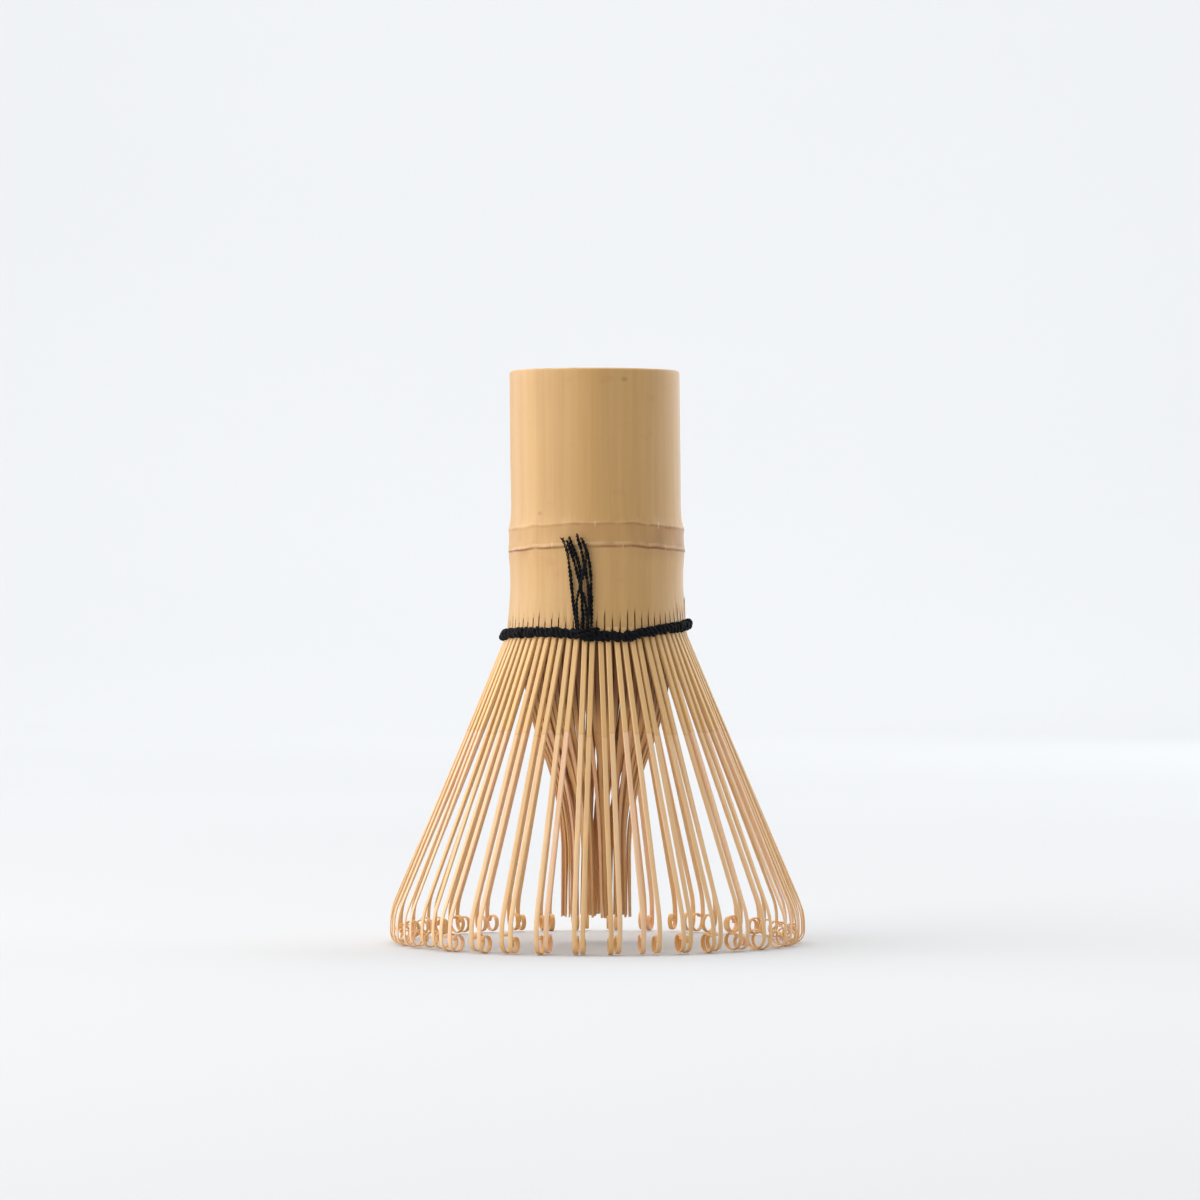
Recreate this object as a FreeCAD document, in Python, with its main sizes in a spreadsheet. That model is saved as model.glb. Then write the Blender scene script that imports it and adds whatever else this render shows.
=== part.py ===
"""A bamboo tea whisk, modelled handle up: +Z runs from the tine tips to the cut end of the handle.

The whisk is one length of bamboo culm. Its upper part, with the node and its inner wall (the diaphragm), is the
handle. Below the lacing the culm wall is split into a ring of wide outer tines that splay out and end in hooks, and
a ring of narrow inner tines that close in to a bundle. Black thread is laced round the roots of the outer tines.
The tines bend where they leave the lacing, so they are parted there into groups that turn about that line.
The origin is on the axis, in the plane of the lowest points of the hooks.
"""

import FreeCAD, Part
import math
import os

import Sketcher

# name, size in mm (or degrees, or a count), what it is
SIZES = [
    ("whisk_height", 96.1, "from the hooks to the cut end of the handle"),
    ("handle_radius", 14.3, "outside of the culm, from the cut end down to the node"),
    ("handle_bore_radius", 10.8, "the culm's own hollow above the node"),
    ("handle_edge_round", 0.5, "rounding of the cut end's outer edge"),
    ("node_level", 66.3, "height of the ridge below the node"),
    ("node_ring_height", 3.7, "from the ridge up to the scar of the leaf sheath"),
    ("node_radius", 15.05, "outside of the ridge"),
    ("ridge_height", 0.6, "half height of the ridge"),
    ("ridge_depth", 0.3, "how far the ridge stands out of the ring above it"),
    ("flare_height", 6.0, "length over which the culm widens into the node"),
    ("septum_thickness", 2.6, "the diaphragm that closes the culm at the node"),
    ("skirt_radius", 15.0, "outside of the culm where it is laced"),
    ("skirt_bore_radius", 11.4, "the culm's own hollow below the node"),
    ("skirt_straight", 2.0, "straight stretch of the culm above the lacing"),
    ("waist_arc_radius", 46.0, "hollow curve between the node and the lacing"),
    ("lacing_level", 52.0, "height of the lacing's middle, where the tines bend"),
    ("comb_rise", 0.65, "the handle's split end stops this far above the lacing's middle"),
    ("root_gap", 0.15, "between the handle's split end and the root of a tine"),
    ("skin_thickness", 1.0, "wall that becomes the outer tines"),
    ("core_thickness", 1.4, "wall that becomes the inner tines"),
    ("lacing_slot_height", 1.4, "ring slot for the inner thread, up from the split end"),
    ("slit_width", 0.36, "between two outer tines at the split end"),
    ("slit_height", 4.6, "how far a split runs up the culm"),
    ("tine_count", 72, "outer tines, and as many inner ones"),
    ("tines_in_group", 4, "outer tines that bend together"),
    ("inner_in_group", 8, "inner tines that bend together"),
    ("tine_root_thickness", 0.8, "outer tine where it leaves the lacing"),
    ("tine_tip_thickness", 0.3, "outer tine in its hook"),
    ("tine_root_width", 0.95, "outer tine at the lacing"),
    ("tine_tip_width", 0.75, "outer tine in its hook"),
    ("tine_splay", 23.0, "degrees that an outer tine leans out"),
    ("bend_radius", 10.0, "where an outer tine turns down into its hook"),
    ("hook_radius", 1.95, "outside of the hook"),
    ("hook_sweep", 235.0, "degrees that the hook turns"),
    ("hook_drop", 1.5, "straight stretch above the hook"),
    ("inner_thickness", 0.4, "inner tine, radially"),
    ("inner_root_width", 0.5, "inner tine at the lacing"),
    ("inner_tip_width", 0.3, "inner tine at its tip"),
    ("inner_root_drop", 2.5, "straight stretch of an inner tine below the lacing"),
    ("inner_tip_level", 5.0, "height of the inner tips"),
    ("inner_tip_straight", 9.0, "straight stretch above the inner tips"),
    ("inner_bundle_radius", 4.4, "outside of the bundle's inner layer at its tips"),
    ("inner_layer_step", 1.3, "from the bundle's inner layer to its outer one"),
    ("thread_diameter", 0.9, "thread of the two outer rounds"),
    ("inner_thread_diameter", 0.6, "thread between the outer and inner tines"),
    ("thread_clearance", 0.15, "between thread and bamboo"),
    ("round_gap", 0.02, "between the two outer rounds"),
    ("knot_width", 3.6, "knot of the lacing, along the band"),
    ("knot_height", 2.4, "knot of the lacing"),
    ("knot_depth", 1.7, "knot of the lacing, radially"),
    ("knot_angle", -8.0, "degrees from the front, where the lacing is knotted"),
    ("tail_diameter", 0.7, "cut ends of the thread"),
]

# The six cut ends of the thread. Each rises from the knot against the front of the handle.
# layer 0 lies on the bamboo and layer 1 over it. The points are (sideways from the front, height) in mm.
TAILS = [
    (0, [(-3.25, 53.7), (-3.25, 56.2), (-4.10, 60.4), (-4.45, 63.9), (-5.60, 68.2)]),
    (0, [(-1.70, 53.7), (-1.70, 56.3), (-2.45, 60.1), (-2.95, 63.6), (-4.55, 68.3)]),
    (1, [(-2.50, 53.7), (-2.50, 56.0), (-2.40, 60.6), (-2.20, 64.6), (-3.30, 68.5)]),
    (0, [(-0.85, 53.7), (-0.85, 56.2), (-1.05, 60.1), (-0.75, 63.7), (-2.15, 68.2)]),
    (1, [(-1.45, 53.7), (-1.45, 56.0), (-1.30, 60.2), (-0.95, 64.4), (-2.05, 67.5)]),
    (1, [(-3.45, 53.7), (-3.45, 56.3), (-3.65, 60.2), (-3.50, 63.4), (-4.70, 67.7)]),
]
ARC_SHARE = 0.45  # of the shorter run, that a bend in a thread's end takes up

doc = FreeCAD.newDocument("bamboo_tea_whisk")
sheet = doc.addObject("Spreadsheet::Sheet", "Sizes")
for row, (name, size, meaning) in enumerate(SIZES, start=1):
    sheet.set(f"A{row}", name)
    sheet.set(f"B{row}", str(size))
    sheet.set(f"C{row}", meaning)
    sheet.setAlias(f"B{row}", name)
doc.recompute()


def cell(name):
    """The expression that reads one size."""
    return f"Sizes.{name}"


def number(expression):
    """What an expression is worth now."""
    found = sheet.evalExpression(str(expression))
    return float(getattr(found, "Value", found))


def plane_of(body, role):
    """One of a body's own origin planes or axes."""
    return next(f for f in body.Origin.OriginFeatures if f.Role == role)


def new_sketch(body, name, role, turn=None):
    """An empty sketch on one of the body's own planes, turned about the whisk's axis by an expression."""
    sketch = body.newObject("Sketcher::SketchObject", name)
    sketch.AttachmentSupport = (plane_of(body, role), [""])
    sketch.MapMode = "FlatFace"
    if turn is not None:
        # the second axis of an upright plane's sketch is the whisk's axis
        sketch.AttachmentOffset = FreeCAD.Placement(
            FreeCAD.Vector(), FreeCAD.Rotation(FreeCAD.Vector(0, 1, 0), number(turn))
        )
        sketch.setExpression("AttachmentOffset.Rotation.Angle", turn)
    return sketch


def arc_through(start, end, radius, turn, large):
    """The arc from start to end; turn is 1 to the left and -1 to the right, large is over half a circle."""
    a, b = FreeCAD.Vector(*start, 0), FreeCAD.Vector(*end, 0)
    chord = b - a
    side = FreeCAD.Vector(-chord.y, chord.x, 0).normalize() * (turn if not large else -turn)
    centre = (a + b) * 0.5 + side * math.sqrt(max(radius**2 - (chord.Length / 2) ** 2, 0.0))
    first, last = (a, b) if turn > 0 else (b, a)
    begin = math.atan2(first.y - centre.y, first.x - centre.x)
    finish = math.atan2(last.y - centre.y, last.x - centre.x)
    if finish <= begin:
        finish += 2 * math.pi
    return Part.ArcOfCircle(Part.Circle(centre, FreeCAD.Vector(0, 0, 1), radius), begin, finish)


def draw_outline(sketch, corners, arcs=None):
    """Draws a closed outline whose corners are pairs of expressions. arcs maps the number of an edge to
    (radius, turn, large), as arc_through takes them. Every corner and radius is bound to its expression."""
    arcs = arcs or {}
    points = [(number(x), number(y)) for x, y in corners]
    bound = []
    ends = []
    for i, start in enumerate(points):
        end = points[(i + 1) % len(points)]
        if i in arcs:
            radius, turn, large = arcs[i]
            edge = sketch.addGeometry(arc_through(start, end, number(radius), turn, large), False)
            ends.append((edge, 1, 2) if turn > 0 else (edge, 2, 1))
            bound.append((sketch.addConstraint(Sketcher.Constraint("Radius", edge, number(radius))), radius))
        else:
            line = Part.LineSegment(FreeCAD.Vector(*start, 0), FreeCAD.Vector(*end, 0))
            ends.append((sketch.addGeometry(line, False), 1, 2))
    for i, (edge, first, _) in enumerate(ends):
        before, _, last = ends[i - 1]
        sketch.addConstraint(Sketcher.Constraint("Coincident", before, last, edge, first))
        for kind, value, expression in (
            ("DistanceX", points[i][0], corners[i][0]),
            ("DistanceY", points[i][1], corners[i][1]),
        ):
            made = sketch.addConstraint(Sketcher.Constraint(kind, -1, 1, edge, first, value))
            bound.append((made, expression))
    for constraint, expression in bound:
        sketch.setExpression(f"Constraints[{constraint}]", str(expression))
    return sketch


def bind(thing, **expressions):
    """Binds properties of an object to expressions; a dot in a property's path is written as two underscores."""
    for path, expression in expressions.items():
        thing.setExpression(path.replace("__", "."), str(expression))
    return thing


def turn_about_z(thing, angle):
    """Turns a sub-part about the whisk's axis by an expression in degrees."""
    thing.Placement = FreeCAD.Placement(FreeCAD.Vector(), FreeCAD.Rotation(FreeCAD.Vector(0, 0, 1), 1.0))
    thing.setExpression("Placement.Rotation.Angle", angle)


# ---------------------------------------------------------------- shared heights and radii
COMB_END = f"({cell('lacing_level')} + {cell('comb_rise')})"
ROOT_TOP = f"({COMB_END} - {cell('root_gap')})"
PITCH = f"(360 / {cell('tine_count')})"
SKIN_INNER = f"({cell('skirt_radius')} - {cell('skin_thickness')})"
CORE_OUTER = f"({cell('skirt_bore_radius')} + {cell('core_thickness')})"
SEPTUM_TOP = f"({cell('node_level')} + {cell('node_ring_height')} / 2 + {cell('septum_thickness')} / 2)"
SEPTUM_BOTTOM = f"({SEPTUM_TOP} - {cell('septum_thickness')})"


def make_handle():
    """The culm: handle, node with its diaphragm, and the laced skirt that is split all round."""
    body = doc.addObject("PartDesign::Body", "Handle")
    body.Label = "handle"
    scar = f"({cell('node_level')} + {cell('node_ring_height')})"
    ring_radius = f"({cell('node_radius')} - {cell('ridge_depth')})"
    skirt_top = f"({COMB_END} + {cell('skirt_straight')})"
    slot_top = f"({COMB_END} + {cell('lacing_slot_height')})"
    corners = [
        ("0", SEPTUM_TOP),
        (cell("handle_bore_radius"), SEPTUM_TOP),
        (cell("handle_bore_radius"), cell("whisk_height")),
        (cell("handle_radius"), cell("whisk_height")),
        (cell("handle_radius"), f"({scar} + {cell('flare_height')})"),
        (ring_radius, scar),
        (ring_radius, f"({cell('node_level')} + {cell('ridge_height')})"),
        (cell("node_radius"), cell("node_level")),
        (ring_radius, f"({cell('node_level')} - {cell('ridge_height')})"),
        (cell("skirt_radius"), skirt_top),
        (cell("skirt_radius"), COMB_END),
        (SKIN_INNER, COMB_END),
        (SKIN_INNER, slot_top),
        (CORE_OUTER, slot_top),
        (CORE_OUTER, COMB_END),
        (cell("skirt_bore_radius"), COMB_END),
        (cell("skirt_bore_radius"), SEPTUM_BOTTOM),
        ("0", SEPTUM_BOTTOM),
    ]
    waist = 8  # the edge from the ridge down to the skirt
    outline = new_sketch(body, "CulmOutline", "XZ_Plane")
    draw_outline(outline, corners, {waist: (cell("waist_arc_radius"), 1, False)})
    culm = body.newObject("PartDesign::Revolution", "Culm")
    culm.Profile = outline
    culm.ReferenceAxis = (plane_of(body, "Z_Axis"), [""])
    culm.Angle = 360.0
    doc.recompute()

    cut_edge = [
        f"Edge{i + 1}"
        for i, edge in enumerate(culm.Shape.Edges)
        if edge.BoundBox.ZLength < 1e-6
        and abs(edge.BoundBox.ZMax - number(cell("whisk_height"))) < 1e-6
        and abs(edge.BoundBox.XMax - number(cell("handle_radius"))) < 1e-6
    ]
    rounding = body.newObject("PartDesign::Fillet", "CutEdge")
    rounding.Base = (culm, cut_edge)
    bind(rounding, Radius=cell("handle_edge_round"))
    doc.recompute()

    before = body.Shape.Volume
    slit_outline = new_sketch(body, "SlitOutline", "YZ_Plane")
    half = f"({cell('slit_width')} / 2)"
    draw_outline(
        slit_outline,
        [(f"-{half}", COMB_END), (half, COMB_END), ("0", f"({COMB_END} + {cell('slit_height')})")],
    )
    slit = body.newObject("PartDesign::Pocket", "Slit")
    slit.Profile = slit_outline
    slit.Type = "ThroughAll"
    slit.Reversed = True
    doc.recompute()
    if body.Shape.Volume >= before:
        raise RuntimeError("the slit cuts nothing")
    slits = body.newObject("PartDesign::PolarPattern", "Slits")
    slits.Originals = [slit]
    slits.Axis = (plane_of(body, "Z_Axis"), [""])
    slits.Angle = 360.0
    bind(slits, Occurrences=cell("tine_count"))
    body.Tip = slits
    return body


def add_tine(body, name, corners, arcs, root_width, tip_width, tip_level, turn=None):
    """One tine in its own radial plane: its side outline, padded to its root width and narrowed to its tip width."""
    side = new_sketch(body, name + "Side", "XZ_Plane", turn)
    draw_outline(side, corners, arcs)
    blade = body.newObject("PartDesign::Pad", name + "Blade")
    blade.Profile = side
    blade.SideType = "Symmetric"
    bind(blade, Length=root_width)
    doc.recompute()
    front = new_sketch(body, name + "Front", "YZ_Plane", turn)
    half_root, half_tip = f"({root_width} / 2)", f"({tip_width} / 2)"
    for sign in ("-", ""):
        draw_outline(
            front,
            [
                (f"{sign}{root_width}", ROOT_TOP),
                (f"{sign}{half_root}", ROOT_TOP),
                (f"{sign}{half_tip}", tip_level),
                (f"{sign}{root_width}", tip_level),
            ],
        )
    narrowing = body.newObject("PartDesign::Pocket", name + "Narrowing")
    narrowing.Profile = front
    narrowing.Type = "ThroughAll"
    narrowing.SideType = "Symmetric"
    before = body.Shape.Volume
    doc.recompute()
    if body.Shape.Volume >= before:
        raise RuntimeError(f"{name} isn't narrowed")
    return [blade, narrowing]


def pattern_tines(body, originals, step, count):
    """Repeats tines round the whisk's axis."""
    pattern = body.newObject("PartDesign::PolarPattern", "Group")
    pattern.Originals = originals
    pattern.Axis = (plane_of(body, "Z_Axis"), [""])
    pattern.Mode = "Spacing"
    bind(pattern, Offset=step, Occurrences=count)
    body.Tip = pattern
    doc.recompute()


def make_outer_group(index):
    """A group of neighbouring outer tines: straight and splayed, then bent down and hooked inwards."""
    body = doc.addObject("PartDesign::Body", f"OuterTines{index + 1}")
    body.Label = f"outer_tines_{index + 1:02d}"
    splay = cell("tine_splay")
    root, tip = cell("tine_root_thickness"), cell("tine_tip_thickness")
    hook, bend = cell("hook_radius"), cell("bend_radius")
    bend_end = f"({hook} + {cell('hook_drop')})"
    bend_start = f"({bend_end} + {bend} * sin({splay}))"
    start_radius = f"({cell('skirt_radius')} + ({ROOT_TOP} - {bend_start}) * tan({splay}))"
    reach = f"({start_radius} + {bend} * (1 - cos({splay})))"
    centre = f"({reach} - {hook})"
    inner_hook = f"({hook} - {tip})"
    corners = [
        (cell("skirt_radius"), ROOT_TOP),
        (start_radius, bend_start),
        (reach, bend_end),
        (reach, hook),
        (f"({centre} + {hook} * cos({cell('hook_sweep')}))", f"({hook} - {hook} * sin({cell('hook_sweep')}))"),
        (
            f"({centre} + {inner_hook} * cos({cell('hook_sweep')}))",
            f"({hook} - {inner_hook} * sin({cell('hook_sweep')}))",
        ),
        (f"({reach} - {tip})", hook),
        (f"({reach} - {tip})", bend_end),
        (f"({start_radius} - {tip} * cos({splay}))", f"({bend_start} - {tip} * sin({splay}))"),
        (f"({cell('skirt_radius')} - {root})", ROOT_TOP),
    ]
    arcs = {
        1: (bend, -1, False),
        3: (hook, -1, True),
        5: (inner_hook, 1, True),
        7: (f"({bend} - {tip})", 1, False),
    }
    made = add_tine(body, "Tine", corners, arcs, cell("tine_root_width"), cell("tine_tip_width"), "0")
    pattern_tines(body, made, PITCH, cell("tines_in_group"))
    middle = f"({cell('tines_in_group')} - 1) / 2"
    turn_about_z(body, f"({index} * {cell('tines_in_group')} - {middle}) * {PITCH}")
    return body


def inner_corners(tip_radius):
    """Side outline of an inner tine: down from the lacing, over in an S curve and down into the bundle."""
    thick = cell("inner_thickness")
    outer = f"({CORE_OUTER} - {cell('thread_clearance')})"
    middle = f"({outer} - {thick} / 2)"
    curve_top = f"({cell('lacing_level')} - {cell('inner_root_drop')})"
    curve_end = f"({cell('inner_tip_level')} + {cell('inner_tip_straight')})"
    across = f"({outer} - {tip_radius})"
    down = f"({curve_top} - {curve_end})"
    sweep = f"(2 * atan({across} / {down}))"
    radius = f"({down} / 2 / sin({sweep}))"
    turn_radius = f"({middle} - {across} / 2)"
    turn_level = f"(({curve_top} + {curve_end}) / 2)"
    aside, below = f"{thick} / 2 * cos({sweep})", f"{thick} / 2 * sin({sweep})"
    corners = [
        (outer, ROOT_TOP),
        (outer, curve_top),
        (f"({turn_radius} + {aside})", f"({turn_level} - {below})"),
        (tip_radius, curve_end),
        (tip_radius, cell("inner_tip_level")),
        (f"({tip_radius} - {thick})", cell("inner_tip_level")),
        (f"({tip_radius} - {thick})", curve_end),
        (f"({turn_radius} - {aside})", f"({turn_level} + {below})"),
        (f"({outer} - {thick})", curve_top),
        (f"({outer} - {thick})", ROOT_TOP),
    ]
    wide, tight = f"({radius} + {thick} / 2)", f"({radius} - {thick} / 2)"
    arcs = {1: (wide, -1, False), 2: (tight, 1, False), 6: (wide, -1, False), 7: (tight, 1, False)}
    return corners, arcs


def make_inner_group(index):
    """A group of neighbouring inner tines, alternately in the bundle's inner and outer layer."""
    body = doc.addObject("PartDesign::Body", f"InnerTines{index + 1}")
    body.Label = f"inner_tines_{index + 1:02d}"
    layers = [cell("inner_bundle_radius"), f"({cell('inner_bundle_radius')} + {cell('inner_layer_step')})"]
    made = []
    for name, tip_radius, turn in (("Near", layers[0], None), ("Far", layers[1], PITCH)):
        corners, arcs = inner_corners(tip_radius)
        made += add_tine(
            body,
            name,
            corners,
            arcs,
            cell("inner_root_width"),
            cell("inner_tip_width"),
            cell("inner_tip_level"),
            turn,
        )
    pattern_tines(body, made, f"2 * {PITCH}", f"{cell('inner_in_group')} / 2")
    # half a pitch round from the outer tines, so that they stand behind the gaps
    middle = f"({cell('inner_in_group')} / 2 - 1)"
    turn_about_z(body, f"({index} * {cell('inner_in_group')} - {middle}) * {PITCH}")
    return body


def make_round(label, ring_radius, level, diameter):
    """One round of thread laid about the whisk's axis."""
    ring = doc.addObject("Part::Torus", label.title().replace("_", ""))
    ring.Label = label
    bind(ring, Radius1=ring_radius, Radius2=f"{diameter} / 2", Placement__Base__z=level)
    return ring


def make_lacing():
    """Two rounds of thread outside the outer tines, one between outer and inner tines, and the knot."""
    thick, thin = cell("thread_diameter"), cell("inner_thread_diameter")
    splay_room = f"({thick} * tan({cell('tine_splay')}) + {cell('thread_clearance')} / 2)"
    outside = f"({cell('skirt_radius')} + {cell('thread_clearance')} + {thick} / 2)"
    inside = f"(({SKIN_INNER} + {CORE_OUTER}) / 2)"
    step = f"(({thick} + {cell('round_gap')}) / 2)"
    upper = make_round("lacing_upper_round", outside, f"{cell('lacing_level')} + {step}", thick)
    lower = make_round(
        "lacing_lower_round", f"{outside} + {splay_room}", f"{cell('lacing_level')} - {step}", thick
    )
    inner = make_round("lacing_inner_round", inside, cell("lacing_level"), thin)

    blob = doc.addObject("Part::Ellipsoid", "KnotBlob")
    depth, height, width = cell("knot_depth"), cell("knot_height"), cell("knot_width")
    # Radius1 is the half height, Radius2 the half depth and Radius3 the half width
    bind(blob, Radius1=f"{height} / 2", Radius2=f"{depth} / 2", Radius3=f"{width} / 2")
    knot_radius = f"({outside} + {thick} / 2 + {cell('thread_clearance')})"
    angle = f"({cell('knot_angle')} - 90)"
    turn_about_z(blob, angle)
    bind(
        blob,
        Placement__Base__x=f"{knot_radius} * cos({angle})",
        Placement__Base__y=f"{knot_radius} * sin({angle})",
        Placement__Base__z=f"{cell('lacing_level')} + {thick} / 2",
    )
    first = doc.addObject("Part::Cut", "KnotOverUpperRound")
    first.Base, first.Tool = blob, upper
    knot = doc.addObject("Part::Cut", "Knot")
    knot.Base, knot.Tool = first, lower
    knot.Label = "lacing_knot"
    return [upper, lower, inner, knot]


def thread_path(points):
    """Straight runs joined by tangent arcs, each as large as its two runs allow."""
    corners = [FreeCAD.Vector(x, z, 0) for x, z in points]
    edges = []
    start = corners[0]
    for before, corner, after in zip(corners, corners[1:], corners[2:]):
        back, ahead = before - corner, after - corner
        take = ARC_SHARE * min(back.Length, ahead.Length)
        begin = corner + back.normalize() * take
        finish = corner + ahead.normalize() * take
        turn = math.pi - back.getAngle(ahead)
        radius = take / math.tan(turn / 2)
        middle = corner + (back + ahead).normalize() * (radius / math.cos(turn / 2) - radius)
        edges += [Part.LineSegment(start, begin), Part.Arc(begin, middle, finish)]
        start = finish
    edges.append(Part.LineSegment(start, corners[-1]))
    return edges


def make_tail(index, layer, points):
    """One cut end of the thread, a round tube in a plane that touches the front of the handle."""
    body = doc.addObject("PartDesign::Body", f"ThreadTail{index + 1}")
    body.Label = f"thread_tail_{index + 1}"
    middle = sum(x for x, _ in points) / len(points)
    step = f"({cell('tail_diameter')} + {cell('thread_clearance')})"
    widest = f"max({cell('node_radius')}; {cell('skirt_radius')})"
    reach = f"({widest} + {cell('thread_clearance')} + {cell('tail_diameter')} / 2 + {layer} * {step})"
    lean = f"asin({middle} / {widest})"
    local = [(x - middle, z) for x, z in points]

    ring = new_sketch(body, "TailSection", "XY_Plane")
    ring.AttachmentOffset = FreeCAD.Placement(FreeCAD.Vector(0, 0, local[0][1]), FreeCAD.Rotation())
    circle = Part.Circle(
        FreeCAD.Vector(local[0][0], -number(reach), 0), FreeCAD.Vector(0, 0, 1), number(cell("tail_diameter")) / 2
    )
    edge = ring.addGeometry(circle, False)
    size = ring.addConstraint(Sketcher.Constraint("Radius", edge, circle.Radius))
    across = ring.addConstraint(Sketcher.Constraint("DistanceX", -1, 1, edge, 3, local[0][0]))
    away = ring.addConstraint(Sketcher.Constraint("DistanceY", -1, 1, edge, 3, -number(reach)))
    ring.setExpression(f"Constraints[{size}]", f"{cell('tail_diameter')} / 2")
    ring.setExpression(f"Constraints[{away}]", f"-{reach}")
    ring.setDatum(across, FreeCAD.Units.Quantity(local[0][0], FreeCAD.Units.Length))

    path = new_sketch(body, "TailPath", "XZ_Plane")
    path.AttachmentOffset = FreeCAD.Placement(FreeCAD.Vector(0, 0, number(reach)), FreeCAD.Rotation())
    path.setExpression("AttachmentOffset.Base.z", reach)
    for curve in thread_path(local):
        path.addGeometry(curve, False)
    doc.recompute()
    tube = body.newObject("PartDesign::AdditivePipe", "Tail")
    tube.Profile = ring
    tube.Spine = (path, [f"Edge{i + 1}" for i in range(len(path.Shape.Edges))])
    body.Tip = tube
    turn_about_z(body, lean)
    return body


def check(parts):
    """Stops if an object failed, or if a sub-part isn't made of valid closed solids."""
    for thing in doc.Objects:
        if {"Invalid", "Error"} & set(thing.State):
            raise RuntimeError(f"{thing.Name} failed: {thing.State}")
    for part in parts:
        shape = part.Shape
        if shape.isNull() or not shape.isValid() or not shape.Solids:
            raise RuntimeError(f"{part.Label} has no valid shape")
        if not all(solid.isClosed() and solid.Volume > 0 for solid in shape.Solids):
            raise RuntimeError(f"{part.Label} isn't closed")


def main():
    outer_groups = round(number(f"{cell('tine_count')} / {cell('tines_in_group')}"))
    inner_groups = round(number(f"{cell('tine_count')} / {cell('inner_in_group')}"))
    parts = [make_handle()]
    parts += [make_outer_group(i) for i in range(outer_groups)]
    parts += [make_inner_group(i) for i in range(inner_groups)]
    parts += make_lacing()
    parts += [make_tail(i, layer, points) for i, (layer, points) in enumerate(TAILS)]
    doc.recompute()
    check(parts)
    os.makedirs("parts", exist_ok=True)
    for part in parts:
        part.Shape.exportStep(os.path.join("parts", part.Label + ".step"))
        print(part.Label, len(part.Shape.Solids), round(part.Shape.Volume, 3))


main()
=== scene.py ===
import math
import random

import bpy
from mathutils import Matrix, Vector, noise


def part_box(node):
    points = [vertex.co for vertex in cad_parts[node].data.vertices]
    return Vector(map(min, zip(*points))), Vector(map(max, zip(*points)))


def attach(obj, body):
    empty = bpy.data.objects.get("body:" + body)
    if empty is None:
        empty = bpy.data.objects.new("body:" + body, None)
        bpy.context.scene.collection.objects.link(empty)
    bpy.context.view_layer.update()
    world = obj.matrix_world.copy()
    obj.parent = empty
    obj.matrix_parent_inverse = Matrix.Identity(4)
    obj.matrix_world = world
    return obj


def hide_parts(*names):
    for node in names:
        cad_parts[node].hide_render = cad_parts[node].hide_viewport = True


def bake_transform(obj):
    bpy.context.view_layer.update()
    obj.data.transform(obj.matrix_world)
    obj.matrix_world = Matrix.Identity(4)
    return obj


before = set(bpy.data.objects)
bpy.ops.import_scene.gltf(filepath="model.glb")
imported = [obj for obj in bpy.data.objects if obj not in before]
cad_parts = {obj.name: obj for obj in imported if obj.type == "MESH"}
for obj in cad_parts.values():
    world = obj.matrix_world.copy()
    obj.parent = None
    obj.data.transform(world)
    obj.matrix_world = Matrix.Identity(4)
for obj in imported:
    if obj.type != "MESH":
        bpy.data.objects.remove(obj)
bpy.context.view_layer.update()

bl_info = {
    "name": "Bamboo tea whisk",
    "version": (1, 0, 0),
    "blender": (4, 5, 0),
    "location": "View3D > Sidebar > Whisk",
    "description": "Builds a bamboo tea whisk round its packed frame: culm, tines, lacing and knot",
    "category": "Add Mesh",
}

MM = 0.001
UP = Vector((0, 0, 1))
OUTER_GROUPS, OUTER_IN_GROUP = 18, 4
INNER_GROUPS, INNER_IN_GROUP = 9, 8
TINES = OUTER_GROUPS * OUTER_IN_GROUP
PITCH = math.tau / TINES
FIRST_OUTER = -(OUTER_IN_GROUP - 1) / 2 * PITCH
FIRST_INNER = -(INNER_IN_GROUP / 2 - 1) * PITCH

HANDLE_LOW, HANDLE_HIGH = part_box("handle")
TOP = HANDLE_HIGH.z / MM
SKIRT_END = HANDLE_LOW.z / MM
APEX = SKIRT_END + 2.4
SLIT_BLEND = SKIRT_END + 8.0
SPLIT_FLOOR = 14.2  # radius in mm in from which the wall isn't split
BORE, OUTSIDE = 10.8, 14.3  # radii in mm of the handle's hollow and of its outside

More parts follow.
